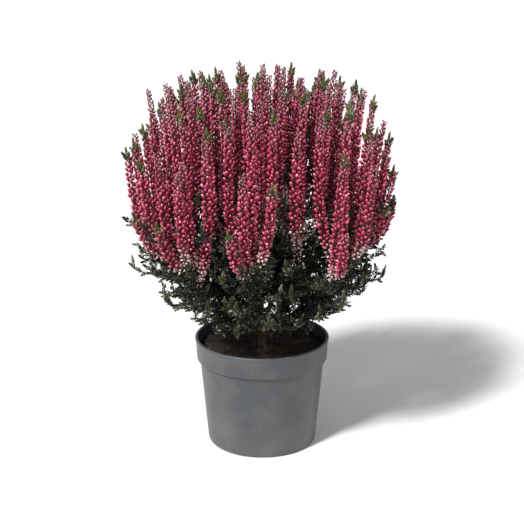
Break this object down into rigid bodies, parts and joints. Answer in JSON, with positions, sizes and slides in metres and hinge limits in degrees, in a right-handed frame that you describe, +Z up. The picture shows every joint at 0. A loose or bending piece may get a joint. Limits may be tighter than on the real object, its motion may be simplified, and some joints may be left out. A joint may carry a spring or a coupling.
{
  "type": "potted heather",
  "caption": "Bushy bud heather with upright crimson racemes over dark green leafy shoots, growing in a round plastic nursery pot that stands on its flat base.",
  "frame": {"origin": "centre of the pot's flat base, on the pot's axis", "axes": "+Z up along the pot's axis, +X to the right and +Y to the back as seen from the front"},
  "size_m": [0.2054, 0.2032, 0.2988],
  "materials": {
    "pot_plastic": "dark grey moulded polypropylene with a faint satin sheen",
    "peat": "moist dark brown peat, crumbly and matt",
    "bark": "thin brown woody stems, matt",
    "leaf": "dark green scale leaves, lighter at the growing tips",
    "bud": "closed crimson buds with pale pink lights, whitish low down, soft satin"
  },
  "bodies": {
    "root": {"pot": "pot_plastic", "soil": "peat", "crown": "bark", "shoot_01": "leaf", "shoot_02": "leaf", "shoot_03": "leaf", "shoot_04": "leaf", "shoot_05": "leaf", "shoot_06": "leaf", "shoot_07": "leaf", "shoot_08": "leaf", "shoot_09": "leaf", "shoot_10": "leaf", "shoot_11": "leaf", "shoot_12": "leaf", "shoot_13": "leaf", "shoot_14": "leaf", "shoot_15": "leaf", "shoot_16": "leaf", "shoot_17": "leaf", "shoot_18": "leaf", "shoot_19": "leaf", "shoot_20": "leaf", "shoot_21": "leaf", "shoot_22": "leaf", "shoot_23": "leaf", "raceme_01": "bud", "raceme_02": "bud", "raceme_03": "bud", "raceme_04": "bud", "raceme_05": "bud", "raceme_06": "bud", "raceme_07": "bud", "raceme_08": "bud", "raceme_09": "bud", "raceme_10": "bud", "raceme_11": "bud", "raceme_12": "bud", "raceme_13": "bud", "raceme_14": "bud", "raceme_15": "bud", "raceme_16": "bud", "raceme_17": "bud", "raceme_18": "bud", "raceme_19": "bud", "raceme_20": "bud", "raceme_21": "bud", "raceme_22": "bud", "raceme_23": "bud"}
  },
  "joints": []
}
